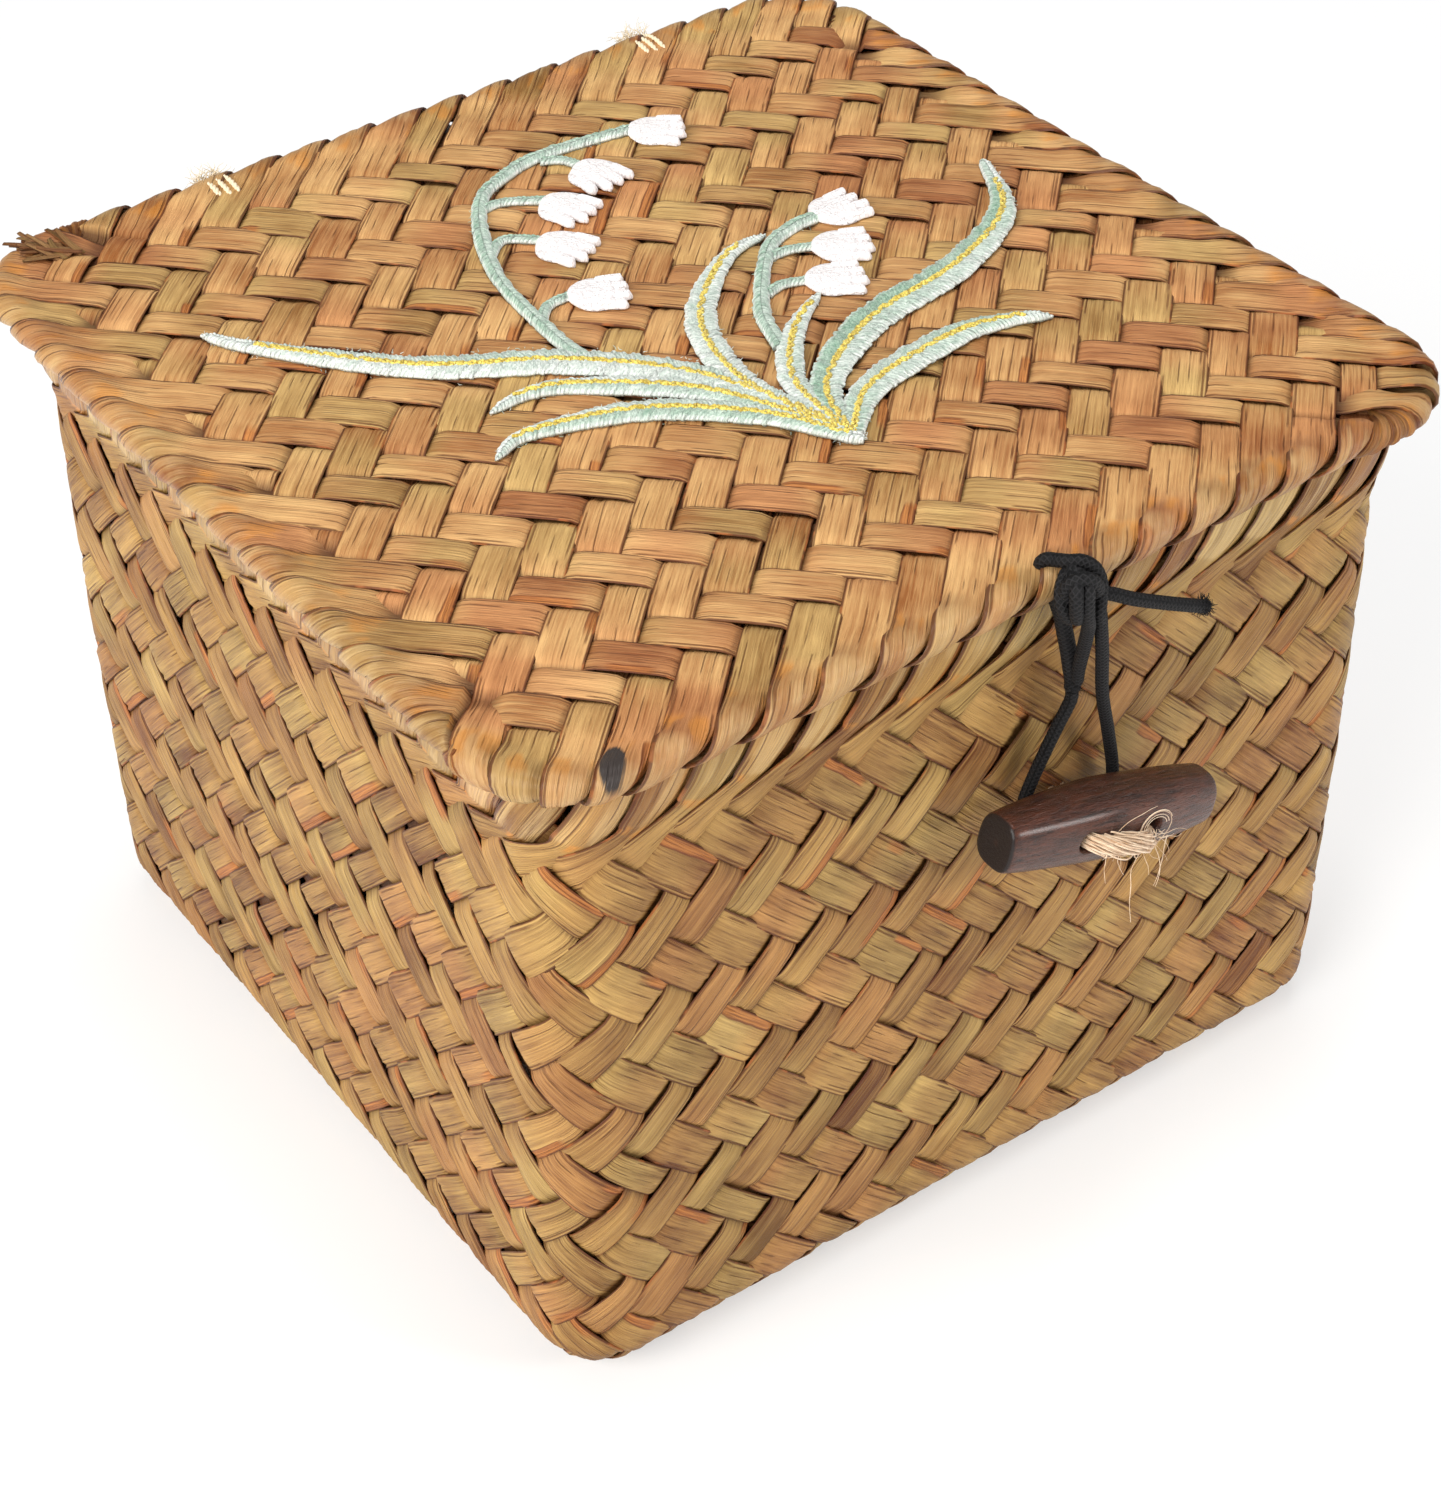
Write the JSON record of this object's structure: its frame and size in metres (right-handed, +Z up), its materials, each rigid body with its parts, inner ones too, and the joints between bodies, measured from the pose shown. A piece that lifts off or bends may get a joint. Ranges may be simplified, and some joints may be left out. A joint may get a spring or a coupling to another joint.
{
  "type": "woven lidded box",
  "caption": "Square plaited rush box with a thread-hinged lid, an embroidered flower spray on top, and a wooden toggle held by an elastic loop",
  "frame": {"origin": "middle of the base, on the surface the box stands on", "axes": "+Z up, +X to the right as seen from the front, the toggle faces -Y and the hinge is at +Y"},
  "size_m": [0.1738, 0.1866, 0.1333],
  "materials": {
    "rush": "plaited rush, olive tan with orange and grey strands, satin",
    "lid_rush": "plaited rush, golden brown, satin",
    "embroidery": "satin stitch in white, mint and pale green with gold thread",
    "thread": "pale natural thread",
    "toggle_wood": "dark stained wood with a soft polish",
    "jute": "loose jute twine",
    "elastic": "black braided elastic cord"
  },
  "bodies": {
    "basket": {"basket_body": "rush", "hinge_tie_left": "thread", "hinge_tie_right": "thread"},
    "lid": {"lid_panel": "lid_rush", "flower_applique": "embroidery", "elastic_sling": "elastic"},
    "toggle": {"toggle": "toggle_wood", "toggle_twine": "jute"},
    "loop": {"elastic_loop": "elastic"}
  },
  "joints": [
    {"name": "lid_hinge", "type": "hinge", "parent": "basket", "child": "lid", "pos_m": [0, 0.0826, 0.1246], "axis": [-1, 0, 0], "range_deg": [0, 120], "deforming": ["elastic_loop"]},
    {"name": "toggle_swivel", "type": "hinge", "parent": "basket", "child": "toggle", "pos_m": [0.0103, -0.0896, 0.0842], "axis": [0, -1, 0], "range_deg": [-70, 70], "deforming": ["elastic_loop"]},
    {"name": "loop_swing", "type": "hinge", "parent": "lid", "child": "loop", "pos_m": [0.0066, -0.0899, 0.1242], "axis": [-1, 0, 0], "range_deg": [0, 120], "deforming": ["elastic_loop"]}
  ]
}
